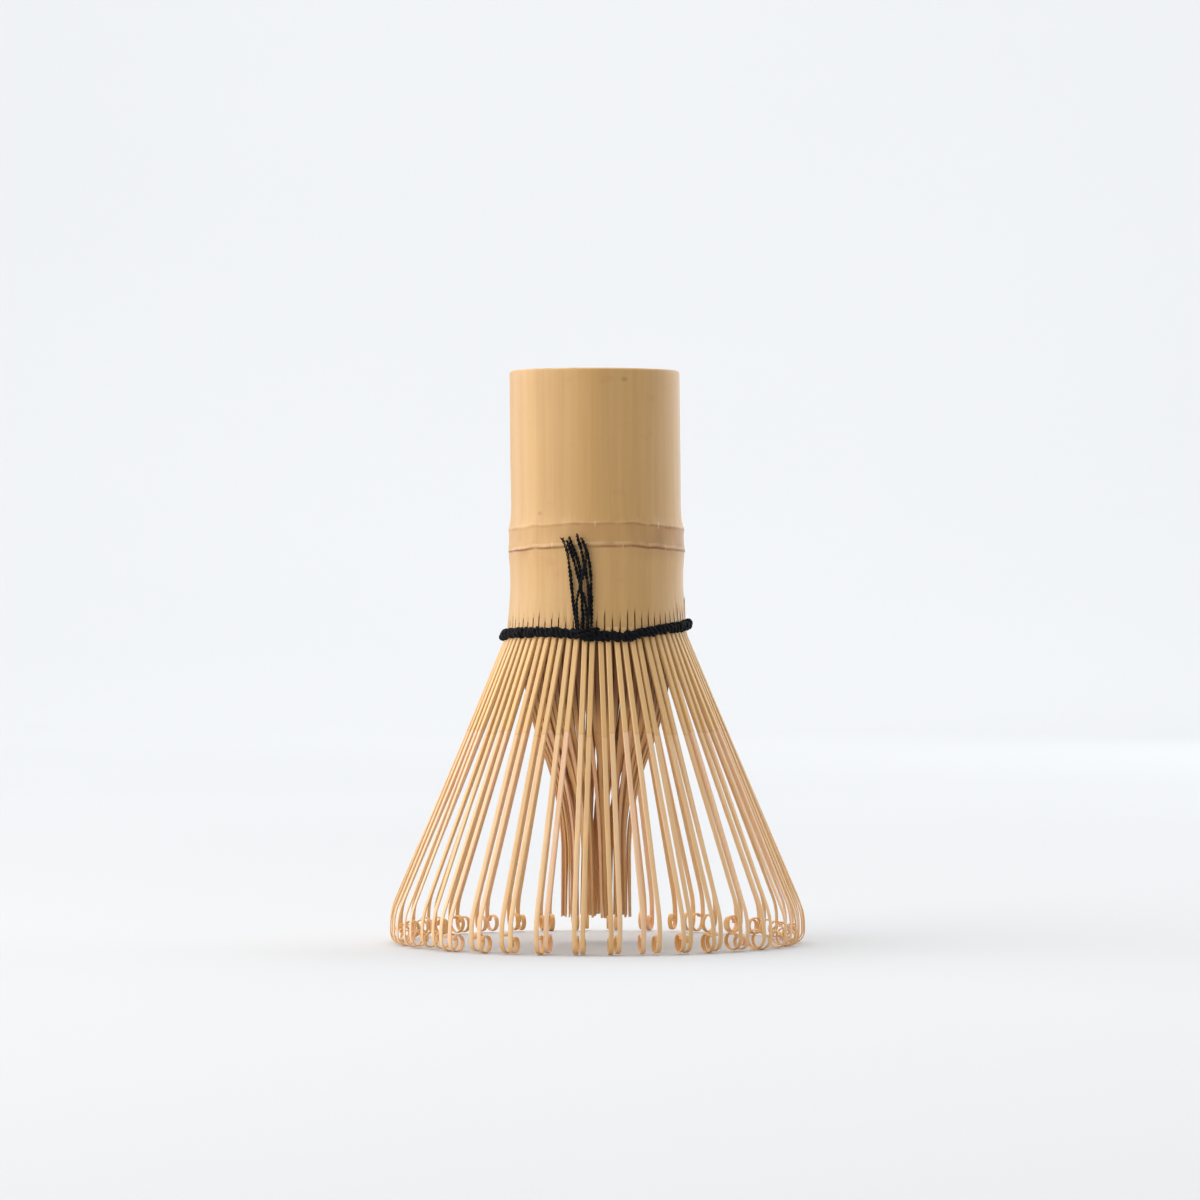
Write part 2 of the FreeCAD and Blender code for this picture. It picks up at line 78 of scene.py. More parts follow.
# The culm's outline, as (radius, height) in mm, from the middle of the diaphragm's top round to its underside.
# The rows between SKIRT_END and APEX stand at the same heights outside and inside, so that a split's sides are flat.
CULM_OUTLINE = [
    (0.02, 69.25), (2.5, 69.27), (5.0, 69.33), (7.2, 69.5), (8.9, 69.9), (10.0, 70.7), (10.6, 71.9), (10.78, 73.5),
    *((BORE, height) for height in (76.0, 81.0, 86.0, 91.0, 94.6)), (10.83, 95.7), (10.95, TOP - 0.12),
    (11.15, TOP), (11.9, TOP), (12.8, TOP), (13.6, TOP), (13.95, TOP - 0.04), (14.17, TOP - 0.16),
    (14.27, TOP - 0.36), *((OUTSIDE, height) for height in (TOP - 0.7, 93.0, 90.0, 87.0, 84.0, 81.0, 78.0, 75.5)),
    (14.31, 73.8), (14.35, 72.6), (14.42, 71.6), (14.53, 70.9), (14.68, 70.4), (14.80, 70.14), (14.84, 69.98),
    (14.82, 69.82), (14.76, 69.66), (14.73, 69.4), (14.72, 68.9), (14.73, 68.2), (14.76, 67.6), (14.83, 67.1),
    (14.93, 66.75), (15.01, 66.5), (15.04, 66.32), (15.0, 66.16), (14.9, 66.02), (14.84, 65.8), (14.79, 65.3),
    (14.72, 64.5), (14.64, 63.4), (14.58, 62.4), (14.56, SLIT_BLEND), (14.55, 60.2), (14.58, 59.2), (14.62, 58.2),
    (14.68, 57.0), (14.76, 56.0), (14.84, APEX), (14.89, 54.6), (14.93, 54.1), (14.97, 53.6), (15.0, 53.1),
    (15.0, SKIRT_END + 0.05), (14.94, SKIRT_END), (SPLIT_FLOOR, SKIRT_END), (11.46, SKIRT_END),
    *((11.4, height) for height in (SKIRT_END + 0.05, 53.1, 53.6, 54.1, 54.6, APEX, 56.0, 58.2, SLIT_BLEND, 64.0)),
    (11.2, 65.3), (10.5, 66.3), (9.0, 66.95), (6.0, 67.3), (3.0, 67.4), (0.02, 67.42),
]
FACETS_IN_SPLIT = 5
HALF_FACET = PITCH / FACETS_IN_SPLIT / 2
INSIDE_SKIN = 13.5  # radius in mm that the culm's outside lies beyond, at every height
HANDLE_SWAY = -0.35  # mm that the grown culm leans aside by its cut end
SCAR_LEVEL, RIDGE_LEVEL, NODE_MIDDLE = 69.98, 66.2, 68.2
LIP_FOOT, LIP_REACH = 14.74, 0.75  # mm: the radius that the node's lips are worn down to, and half their height

# Height in mm of the lacing's middle at angles round the whisk: -90 is the front and 0 the right.
BAND_WAVE = [(-180, 51.7), (-150, 52.15), (-122, 52.35), (-108, 52.2), (-94, 51.65), (-72, 51.55), (-58, 52.3),
             (-36, 52.95), (0, 53.55), (60, 52.7), (130, 52.1), (180, 51.7)]
STRANDS = 3
BAND_RADIUS, TUCK = 15.36, 0.26  # mm: of the lacing's middle, and how far its strands go in and out

# The six cut ends of the thread, from under the lacing to the cut: (sideways, off the bamboo, height) in mm
THREAD_ENDS = [
    [(-3.35, 1.3, 51.3), (-3.3, 1.8, 52.4), (-3.35, 0.75, 53.6), (-3.65, 0.4, 55.2), (-3.85, 0.4, 56.8),
     (-4.07, 0.4, 58.9), (-4.25, 0.4, 61.0), (-4.53, 0.4, 63.4), (-4.8, 0.42, 65.3), (-5.15, 0.5, 66.6),
     (-5.72, 0.8, 67.8)],
    [(-1.25, 1.35, 51.1), (-1.25, 1.8, 52.3), (-1.4, 0.85, 53.6), (-1.6, 0.7, 55.2), (-1.8, 0.9, 56.9),
     (-2.15, 1.05, 58.3), (-2.6, 1.0, 59.6), (-2.95, 0.6, 61.0), (-3.35, 0.4, 62.6), (-3.75, 0.4, 64.0),
     (-4.25, 0.42, 65.5), (-4.55, 0.5, 66.5), (-4.9, 0.75, 67.4)],
    [(-2.2, 1.3, 51.1), (-2.2, 1.7, 52.2), (-2.2, 0.75, 53.5), (-2.3, 0.4, 55.0), (-2.42, 0.4, 56.9),
     (-2.48, 0.4, 58.6), (-2.55, 0.4, 60.6), (-2.66, 0.4, 62.3), (-3.02, 0.4, 63.8), (-3.55, 0.42, 65.2),
     (-4.08, 0.55, 66.6), (-4.5, 0.85, 67.9)],
    [(-0.85, 1.35, 51.2), (-0.85, 1.85, 52.4), (-0.84, 0.9, 53.7), (-0.85, 0.42, 55.2), (-0.86, 0.42, 58.2),
     (-0.9, 0.42, 60.6), (-1.03, 0.42, 62.9), (-1.27, 0.42, 64.4), (-1.62, 0.48, 65.8), (-2.1, 0.7, 66.9),
     (-2.48, 0.95, 67.8)],
    [(-1.75, 1.25, 51.4), (-1.7, 1.8, 52.4), (-1.5, 1.15, 53.8), (-1.2, 1.0, 55.8), (-1.27, 0.85, 58.2),
     (-1.44, 0.5, 60.2), (-1.74, 0.4, 61.8), (-2.05, 0.4, 63.4), (-2.3, 0.42, 64.8), (-2.6, 0.5, 66.0),
     (-2.95, 0.7, 67.2), (-3.25, 0.95, 68.3)],
    [(-3.0, 1.35, 51.3), (-3.0, 1.9, 52.4), (-3.1, 1.2, 53.6), (-3.3, 1.05, 55.2), (-3.4, 1.05, 57.0),
     (-3.1, 1.35, 58.5), (-2.7, 1.65, 59.8), (-2.35, 1.4, 61.4), (-2.0, 1.1, 63.0), (-1.77, 1.1, 64.3),
     (-1.75, 1.1, 65.6), (-1.95, 1.2, 66.8)],
]


# ---- settings
def colour_setting(name, description, default):
    return bpy.props.FloatVectorProperty(
        name=name, description=description, subtype="COLOR", size=3, min=0, max=1, default=default)


def length_setting(name, description, low, high, default):
    """A length between two others, all three in millimetres."""
    return bpy.props.FloatProperty(
        name=name, description=description, unit="LENGTH", min=low * MM, max=high * MM, default=default * MM)


class WhiskCulmSettings(bpy.types.PropertyGroup):
    """Sizes and colours of the culm."""

    skin: colour_setting("Skin", "Colour of the dried culm's skin", (0.62, 0.365, 0.135))
    skin_dark: colour_setting("Dark streaks", "Colour of the skin's darker streaks", (0.56, 0.32, 0.112))
    flesh: colour_setting("Flesh", "Colour of the wood inside the wall", (0.74, 0.52, 0.27))
    node_brown: colour_setting("Node brown", "Colour of the lines at the node", (0.24, 0.075, 0.014))
    wave: length_setting("Node wave", "How far the node's ring wanders up and down", 0, 1, 0.30)
    split_spread: length_setting("Split spread", "How much the splits differ in height", 0, 3, 2.2)


class WhiskTineSettings(bpy.types.PropertyGroup):
    """Sizes and colours of the tines."""

    width: length_setting("Width", "Outer tine at the lacing", 0.3, 1.2, 0.88)
    tip_width: length_setting("Tip width", "Outer tine in its hook", 0.2, 1.2, 0.76)
    splay: bpy.props.FloatProperty(
        name="Splay", description="How far the outer tines lean out", subtype="ANGLE", min=0, max=0.7,
        default=math.radians(22.8))
    swirl: bpy.props.FloatProperty(
        name="Swirl", description="How far the inner tines lean round the bundle", subtype="ANGLE", min=0, max=0.1,
        default=math.radians(1.6))
    skin: colour_setting("Skin", "Colour of a tine's outer face", (0.74, 0.465, 0.195))
    shaved: colour_setting("Shaved", "Colour of an outer face once its skin is shaved off", (0.82, 0.54, 0.285))
    # darker than the culm's flesh: painted shade on the tines' sides and inner faces, over the flesh's own colour
    flesh: colour_setting("Flesh", "Colour of a tine's sides and inner face", (0.63, 0.35, 0.135))
    shave_level: length_setting("Shaving line", "Height at which the skin was shaved off", 0, 52, 35.6)


class WhiskThreadSettings(bpy.types.PropertyGroup):
    """Sizes and colours of the thread."""

    band_thread: length_setting("Lacing thread", "Thickness of the thread in the lacing", 0.3, 1.5, 1.12)
    end_thread: length_setting("Thread ends", "Thickness of the cut ends", 0.3, 1.2, 0.55)
    black: colour_setting("Black", "Colour of the cotton", (0.0035, 0.004, 0.006))
    cut_red: colour_setting("Cut ends", "Faded colour at the very ends", (0.085, 0.018, 0.014))


class WhiskStageSettings(bpy.types.PropertyGroup):
    """Floor and camera."""

    floor: colour_setting("Floor", "Colour of floor and backdrop", (0.80, 0.81, 0.82))
    distance: length_setting("Distance", "From the whisk's axis to the camera", 300, 3000, 900)
    eye_level: length_setting("Eye level", "Height of the camera over the floor", 0, 500, 57.6)
    lens: bpy.props.FloatProperty(
        name="Lens", description="Focal length of the camera in millimetres", min=20, max=300, default=160.6)


# ---- shader nodes
class Field:
    """An output socket that takes part in sums, each of which adds Math nodes."""

    def __init__(self, finish, socket):
        self.finish, self.socket = finish, socket

    def _math(self, operation, *values):
        return self.finish.node("ShaderNodeMath", {"operation": operation}, dict(enumerate(values)))

    def __add__(self, other):
        return self._math("ADD", self, other)

    def __radd__(self, other):
        return self._math("ADD", other, self)

    def __sub__(self, other):
        return self._math("SUBTRACT", self, other)

    def __rsub__(self, other):
        return self._math("SUBTRACT", other, self)

    def __mul__(self, other):
        return self._math("MULTIPLY", self, other)

    def __abs__(self):
        return self._math("ABSOLUTE", self)

    def __pow__(self, other):
        return self._math("POWER", self, other)


class Finish:
    """A material with one Principled shader, and the nodes that feed it."""

    def __init__(self, name, **constants):
        self.material = bpy.data.materials.new(name)
        self.material.use_nodes = True
        self.tree = self.material.node_tree
        self.shader = self.tree.nodes["Principled BSDF"]
        for socket, value in constants.items():
            self.shader.inputs[socket.replace("_", " ")].default_value = value

    def node(self, kind, settings=None, inputs=None, output=0):
        """Adds a node, sets it up, fills its sockets with values or links and returns one output."""
        made = self.tree.nodes.new(kind)
        for name, value in (settings or {}).items():
            setattr(made, name, value)
        for key, value in (inputs or {}).items():
            self.fill(made.inputs[key], value)
        return Field(self, made.outputs[output])

    def fill(self, socket, value):
        if isinstance(value, Field):
            self.tree.links.new(value.socket, socket)
        elif socket.type == "RGBA" and len(value) == 3:
            socket.default_value = (*value, 1.0)
        else:
            socket.default_value = value

    def place(self):
        return self.node("ShaderNodeTexCoord", output="Object")

    def attribute(self, name):
        return self.node("ShaderNodeAttribute", {"attribute_name": name}, output="Fac")

    def split(self, vector):
        made = self.node("ShaderNodeSeparateXYZ", inputs={0: vector}).socket.node
        return [Field(self, out) for out in made.outputs]

    def stretch(self, vector, scale):
        return self.node("ShaderNodeVectorMath", {"operation": "MULTIPLY"}, {0: vector, 1: scale})

    def clouds(self, vector, scale, detail, roughness=0.5):
        """Noise from 0 to 1 round 0.5; scale is in waves to the metre."""
        inputs = {"Vector": self.stretch(vector, scale), "Scale": 1.0, "Detail": detail, "Roughness": roughness}
        return self.node("ShaderNodeTexNoise", inputs=inputs)

    def cells(self, vector, scale, output="Distance", randomness=1.0):
        """Round spots, by the distance from their middles or by a colour that each has to itself."""
        inputs = {"Vector": self.stretch(vector, scale), "Scale": 1.0, "Randomness": randomness}
        return self.node("ShaderNodeTexVoronoi", {"feature": "F1"}, inputs, output)

    def rise(self, value, low, high, start=0.0, end=1.0):
        """Goes from start to end as the value goes from low to high, and no further."""
        settings = {"clamp": True, "interpolation_type": "SMOOTHSTEP"}
        inputs = {"Value": value, "From Min": low, "From Max": high, "To Min": start, "To Max": end}
        return self.node("ShaderNodeMapRange", settings, inputs)

    def line(self, value, centre, half, soft):
        """1 within half of the centre, down to 0 over soft."""
        return self.rise(abs(value - centre), half, half + soft, 1.0, 0.0)

    def mix(self, mask, under, over):
        return self.node("ShaderNodeMix", {"data_type": "RGBA"}, {0: mask, 6: under, 7: over}, output=2)

    def tint(self, colour, amount):
        """Multiplies a colour by a grey amount."""
        return self.node("ShaderNodeMix", {"data_type": "RGBA", "blend_type": "MULTIPLY"},
                         {0: 1.0, 6: colour, 7: amount}, output=2)

    def bump(self, height, distance, strength):
        return self.node("ShaderNodeBump", inputs={"Height": height, "Distance": distance, "Strength": strength})

    def finish(self, **sockets):
        for name, value in sockets.items():
            self.fill(self.shader.inputs[name.replace("_", " ")], value)
        return self.material


def culm_skin(settings):
    """Dried bamboo skin: fine fibres up the culm, broad streaks, a brown ring at the node, specks and nicks, with
    painted highlights on the node's lips and nicks and painted shade on the ring's right.
    """
    f = Finish("bamboo_skin", Specular_IOR_Level=0.4, Coat_Weight=0.30, Coat_Roughness=0.30)
    place = f.place()
    level = f.attribute("level")
    fibres = f.clouds(place, (2400, 2400, 45), detail=3, roughness=0.6)
    streaks = f.clouds(place, (330, 330, 7), detail=2)
    patches = f.clouds(place, (90, 90, 45), detail=3)
    dark = f.rise(streaks * 0.7 + patches * 0.3, 0.36, 0.66)
    colour = f.mix(dark, settings.skin, settings.skin_dark)
    colour = f.tint(colour, 0.90 + fibres * 0.2)
    # the ring between sheath scar and ridge is a little browner, and so is the skin just below the ridge
    ring_brown = (0.38, 0.175, 0.062)
    ring = f.line(level, (SCAR_LEVEL + RIDGE_LEVEL) / 2, (SCAR_LEVEL - RIDGE_LEVEL) / 2 - 0.25, 0.35)
    below = f.rise(level, RIDGE_LEVEL - 2.6, RIDGE_LEVEL) * f.rise(level, RIDGE_LEVEL, RIDGE_LEVEL + 0.2, 1.0, 0.0)
    worn = f.clouds(place, (260, 260, 120), detail=4)
    patchy = f.rise(f.clouds(place, (70, 70, 40), detail=2), 0.35, 0.65)
    # side: the ring's browning is weaker on the left and full right of the middle, painted shade where the thread
    # ends shade the node, over its real browning
    side = f.rise(f.split(place)[0], -12 * MM, 2 * MM, 0.25, 1.0)
    browned = ring * f.rise(worn, 0.2, 0.75, 0.30, 0.85) * (patchy * 0.75 + 0.25) * side
    colour = f.mix(browned, colour, ring_brown)
    colour = f.mix(below * patchy * 0.35, colour, ring_brown)
    # the sheath's scar and the foot of the ridge are thin brown lines that come and go
    broken = f.clouds(place, (520, 520, 300), detail=3)
    scar = f.line(level, SCAR_LEVEL - 0.22, 0.05, 0.32) * f.rise(broken, 0.34, 0.6, 0.1, 0.75)
    # the scar line also takes the painted shade to the right
    scar = scar * (patchy * 0.7 + 0.3) * side
    ridge = f.line(level, RIDGE_LEVEL - 0.10, 0.07, 0.20) * f.rise(broken, 0.28, 0.55, 0.35, 1.0)
    ridge = ridge * (patchy * 0.4 + 0.6)
    colour = f.mix(scar, colour, (0.34, 0.13, 0.035))
    colour = f.mix(ridge, colour, settings.node_brown)
    # a worn, paler lip over each line, and a painted highlight along it where its top catches the light
    lip = f.line(level, RIDGE_LEVEL + 0.42, 0.08, 0.22) + f.line(level, SCAR_LEVEL + 0.18, 0.06, 0.25) * 0.5
    colour = f.mix(lip * f.rise(broken, 0.62, 0.42, 0.05, 0.34), colour, (0.80, 0.56, 0.34))
    # faint reddish mottling, specks, and pale nicks that cross the ring, with their glints of light painted in
    mottle = f.rise(f.clouds(place, (170, 170, 330), detail=3), 0.60, 0.76)
    colour = f.mix(mottle * 0.26, colour, (0.50, 0.22, 0.09))
    rare = f.rise(f.split(f.cells(place, (210, 210, 300), "Color"))[0], 0.88, 0.92)
    specks = f.rise(f.cells(place, (210, 210, 300)), 0.05, 0.17, 1.0, 0.0) * rare
    colour = f.mix(specks * 0.40, colour, (0.30, 0.13, 0.05))
    # painted glints: pale marks where light catches small nicks in the skin
    nick_glint = f.rise(f.clouds(place, (1500, 1500, 160), detail=1), 0.70, 0.74)
    colour = f.mix(nick_glint * f.line(level, NODE_MIDDLE + 0.1, 2.2, 0.8) * 0.5, colour, (0.80, 0.62, 0.42))
    rough = 0.46 + fibres * 0.10 + ring * 0.10
    height = fibres * 0.6 + worn * ring * 0.8 - ridge * 0.5 - specks * 0.4
    return f.finish(Base_Color=colour, Roughness=rough, Normal=f.bump(height, 0.05 * MM, 0.6))


def culm_cut(settings):
    """Cut wall: pale flesh with brown bundles of fibres that crowd towards the skin."""
    f = Finish("bamboo_end_grain")
    place = f.place()
    x, y, z = f.split(place)
    radius = (x * x + y * y) ** 0.5
    outward = f.rise(radius, BORE * MM, OUTSIDE * MM)
    bundles = f.cells(place, (2100, 2100, 40), randomness=0.8)
    dots = f.rise(bundles, 0.16, 0.34, 1.0, 0.0) * f.rise(outward, 0.0, 0.8, 0.35, 1.0)
    saw = f.clouds(place, (900, 5200, 900), detail=2)
    colour = f.mix(outward * 0.45, settings.flesh, (0.60, 0.37, 0.17))
    colour = f.mix(dots * 0.62, colour, (0.30, 0.15, 0.06))
    colour = f.mix(f.rise(radius, 14.0 * MM, 14.25 * MM) * 0.5, colour, (0.40, 0.22, 0.09))
    # painted shade: the walls turn darker brown down in the splits, where they lie in shadow
    colour = f.mix(f.rise(z, 57 * MM, 62 * MM, 0.8, 0.0), colour, (0.30, 0.115, 0.028))
    colour = f.tint(colour, 0.9 + saw * 0.2)
    return f.finish(Base_Color=colour, Roughness=0.72 - dots * 0.1, Normal=f.bump(saw * 0.5 - dots, 0.06 * MM, 0.7))


def culm_inside(settings):
    """The culm's own hollow: pale, a little silky, with fine lines up it."""
    f = Finish("bamboo_inside")
    place = f.place()
    lines = f.clouds(place, (1500, 1500, 60), detail=3)
    pith = f.clouds(place, (420, 420, 420), detail=4, roughness=0.7)
    colour = f.mix(f.rise(pith, 0.35, 0.7), settings.flesh, (0.55, 0.36, 0.18))
    colour = f.tint(colour, 0.86 + lines * 0.22)
    return f.finish(Base_Color=colour, Roughness=0.66 + pith * 0.2, Normal=f.bump(lines + pith, 0.08 * MM, 0.6))


def tine_wood(name, settings, face, bare, root=0.0):
    """Split bamboo. The strip's own map runs along it in millimetres; face is its colour down to the shaving line
    and bare is its colour below. root is how dark the painted shade is where it leaves the lacing, where the tines
    lie in shadow."""
    f = Finish(name, Coat_Weight=0.05, Coat_Roughness=0.35)
    strip = f.node("ShaderNodeUVMap", {"uv_map": "strip"})
    tone = f.attribute("tone")
    z = f.split(f.place())[2]
    own = f.node("ShaderNodeCombineXYZ", inputs={0: tone * 37.0, 1: tone * 53.0})
    moved = f.node("ShaderNodeVectorMath", {"operation": "ADD"}, {0: strip, 1: own})
    fibres = f.clouds(moved, (0.22, 7.0, 1.0), detail=3, roughness=0.6)
    patches = f.clouds(moved, (0.16, 0.6, 1.0), detail=2)
    edge = settings.shave_level + (tone - 0.5) * 0.9 * MM
    shaved = f.rise(z - edge, -0.12 * MM, 0.12 * MM, 1.0, 0.0)
    lip = f.line(z - edge, 0.0, 0.10 * MM, 0.12 * MM)
    colour = f.mix(shaved, face, bare)
    colour = f.mix(f.rise(patches, 0.35, 0.75) * 0.45, colour, (0.80, 0.47, 0.20))
    colour = f.mix(f.rise(f.split(strip)[0], 52.0, 60.0, 0.0, 0.75), colour, (0.78, 0.43, 0.13))
    colour = f.mix(f.rise(tone, 0.62, 0.9) * shaved * 0.40, colour, (0.80, 0.50, 0.36))
    colour = f.mix(f.rise(tone, 0.35, 0.1) * 0.40, colour, (0.80, 0.46, 0.16))
    colour = f.tint(colour, 0.80 + fibres * 0.22 + tone * 0.16)
    colour = f.mix(lip * 0.16, colour, (0.36, 0.17, 0.07))
    # painted shade: dark brown towards the lacing, where the tines lie in shadow
    colour = f.mix(f.rise(z, 35 * MM, 43 * MM, 0.0, root), colour, (0.12, 0.038, 0.008))
    rough = 0.40 + shaved * 0.16 + fibres * 0.1
    return f.finish(Base_Color=colour, Roughness=rough, Normal=f.bump(fibres - shaved * 0.5, 0.03 * MM, 0.7))


def cotton(settings):
    """Black cotton: matt, with a short nap, and faded where it is cut."""
    f = Finish("black_cotton", Specular_IOR_Level=0.14, Sheen_Weight=0.05, Sheen_Roughness=0.5)
    place = f.place()
    nap = f.clouds(place, (5200, 5200, 5200), detail=3, roughness=0.7)
    worn = f.clouds(place, (900, 900, 900), detail=2)
    z = f.split(place)[2]
    cut = f.rise(z + (worn - 0.5) * 1.6 * MM, 67.3 * MM, 68.3 * MM)
    colour = f.mix(f.rise(nap, 0.52, 0.85) * 0.6, settings.black, (0.018, 0.019, 0.026))
    colour = f.mix(cut * 0.6, colour, settings.cut_red)
    return f.finish(Base_Color=colour, Roughness=0.82 + nap * 0.12, Normal=f.bump(nap, 0.05 * MM, 0.9))


# ---- modelling
def object_mode():
    bpy.ops.object.mode_set(mode="OBJECT")


def start():
    """Leaves edit mode and selects nothing."""
    if bpy.context.object and bpy.context.object.mode != "OBJECT":
        object_mode()
    bpy.ops.object.select_all(action="DESELECT")


def make_active(*things):
    """Selects these objects alone; the first is the active one."""
    start()
    for thing in things:
        thing.select_set(True)
    bpy.context.view_layer.objects.active = things[0]
    return things[0]


def set_in_place():
    """Moves an object's place into its mesh, so that the object stands at the origin."""
    bpy.ops.object.transform_apply(location=True, rotation=True, scale=True)


def pick(test, kind="VERT"):
    """In edit mode, selects the active mesh's points or faces that pass the test, by their place."""
    bpy.ops.object.mode_set(mode="EDIT")
    bpy.ops.mesh.select_mode(type=kind)
    bpy.ops.mesh.select_all(action="DESELECT")
    object_mode()
    mesh = bpy.context.object.data
    for item in mesh.vertices if kind == "VERT" else mesh.polygons:
        item.select = test(item.co if kind == "VERT" else item)
    bpy.ops.object.mode_set(mode="EDIT")


def edit_all():
    """Enters edit mode with the whole of the active mesh selected."""
    bpy.ops.object.mode_set(mode="EDIT")
    bpy.ops.mesh.select_all(action="SELECT")


def put_modifier(thing, kind, **settings):
    """Adds a modifier and applies it."""
    modifier = thing.modifiers.new(kind.lower(), kind)
    for name, value in settings.items():
        setattr(modifier, name, value)
    make_active(thing)
    bpy.ops.object.modifier_apply(modifier=modifier.name)


def outward(thing):
    """Merges what coincides and turns every face outwards."""
    make_active(thing)
    edit_all()
    bpy.ops.mesh.remove_doubles(threshold=0.002 * MM)
    bpy.ops.mesh.normals_make_consistent(inside=False)
    object_mode()


def smooth(thing, angle):
    """Shades smooth except along edges sharper than an angle in degrees."""
    make_active(thing)
    bpy.ops.object.shade_smooth_by_angle(angle=math.radians(angle))


def copy_of(thing):
    """A copy with its own mesh."""
    made = thing.copy()
    made.data = thing.data.copy()
    bpy.context.collection.objects.link(made)
    return made


def drop(*things):
    """Removes helpers that were only needed to make something."""
    for thing in things:
        bpy.data.objects.remove(thing, do_unlink=True)


def join(things, name):
    """Makes one object of several."""
    first = make_active(*things)
    bpy.ops.object.join()
    first.name = first.data.name = name
    return first


def guide(points, flat):
    """A line that a straight piece is bent along; a flat one lies in the floor's plane."""
    data = bpy.data.curves.new("guide", "CURVE")
    data.dimensions = "2D" if flat else "3D"
    spline = data.splines.new("POLY" if flat else "NURBS")
    spline.points.add(len(points) - 1)
    for point, place in zip(spline.points, points):
        point.co = (*place, *([0.0] if flat else []), 1.0)
    if not flat:
        spline.order_u = 4
        spline.use_endpoint_u = True
        spline.resolution_u = 6
    made = bpy.data.objects.new("guide", data)
    bpy.context.collection.objects.link(made)
    return made


def line_length(points):
    """Length of the straight runs from point to point."""
    return sum((Vector(b) - Vector(a)).length for a, b in zip(points, points[1:]))


# ---- the culm
def splitting(polygon):
    """True for the faces that a split takes away: those between the last two columns, below the split's top."""
    if polygon.center.xy.length < SPLIT_FLOOR * MM:
        return False
    angle = math.atan2(polygon.center.y, polygon.center.x)
    column = (FACETS_IN_SPLIT - 0.5) / FACETS_IN_SPLIT * PITCH + HALF_FACET
    return abs(angle - column) < HALF_FACET * 0.5 and polygon.center.z < APEX * MM


def make_culm_slice():
    """One split's worth of culm: an arc extruded along the outline, with a V cut through its lower end."""
    start()
    radius, height = CULM_OUTLINE[0]
    bpy.ops.mesh.primitive_circle_add(
        vertices=TINES * FACETS_IN_SPLIT, radius=radius * MM, location=(0, 0, height * MM),
        rotation=(0, 0, math.pi / 2 + HALF_FACET))
    slice_ = bpy.context.object
    set_in_place()

    def outside_slice(co):
        angle = math.atan2(co.y, co.x) - HALF_FACET
        return not -HALF_FACET * 0.5 < angle < PITCH + HALF_FACET * 0.5

    pick(outside_slice)
    bpy.ops.mesh.delete(type="VERT")
    bpy.ops.mesh.select_all(action="SELECT")
    for (r0, z0), (r1, z1) in zip(CULM_OUTLINE, CULM_OUTLINE[1:]):
        bpy.ops.mesh.extrude_region_move(TRANSFORM_OT_translate={"value": (0, 0, (z1 - z0) * MM)})
        bpy.ops.transform.resize(value=(r1 / r0, r1 / r0, 1), center_override=(0, 0, 0))
    pick(splitting, "FACE")
    bpy.ops.mesh.delete(type="FACE")
    # the two sides of the V meet in one edge at its top
    columns = [HALF_FACET + PITCH * k / FACETS_IN_SPLIT for k in (FACETS_IN_SPLIT - 1, FACETS_IN_SPLIT)]
    middle = sum(columns) / 2

    def close_to(co, column, reach):
        off = abs(math.atan2(co.y, co.x) - column)
        return co.xy.length > (SPLIT_FLOOR - 0.01) * MM and off < HALF_FACET * reach

    def at_top(co):
        return abs(co.z - APEX * MM) < 1e-6 and close_to(co, middle, 1.2)

    def at_foot(co):
        inmost = co.z < (SKIRT_END + 0.01) * MM and co.xy.length < (SPLIT_FLOOR + 0.01) * MM
        return inmost and close_to(co, middle, 1.2)

    pick(at_top)
    bpy.ops.mesh.merge(type="CENTER")
    for column in columns:
        pick(lambda co: at_top(co) or (co.z < (APEX - 0.01) * MM and close_to(co, column, 0.2)))
        bpy.ops.mesh.edge_face_add()
    pick(lambda co: at_top(co) or at_foot(co))
    bpy.ops.mesh.edge_face_add()
    object_mode()
    return slice_


def split_heights(spread):
    """How much further up each split reaches, in mm: more at the right, and a few do anywhere."""
    draw = random.Random(7)
    heights = []
    for split in range(TINES):
        right = max(0.0, math.cos(split * PITCH) - 0.3)
        tall = draw.random() ** 4
        heights.append((draw.uniform(-0.85, -0.15) + right * 1.85 + tall * 0.75) * spread)
    return heights


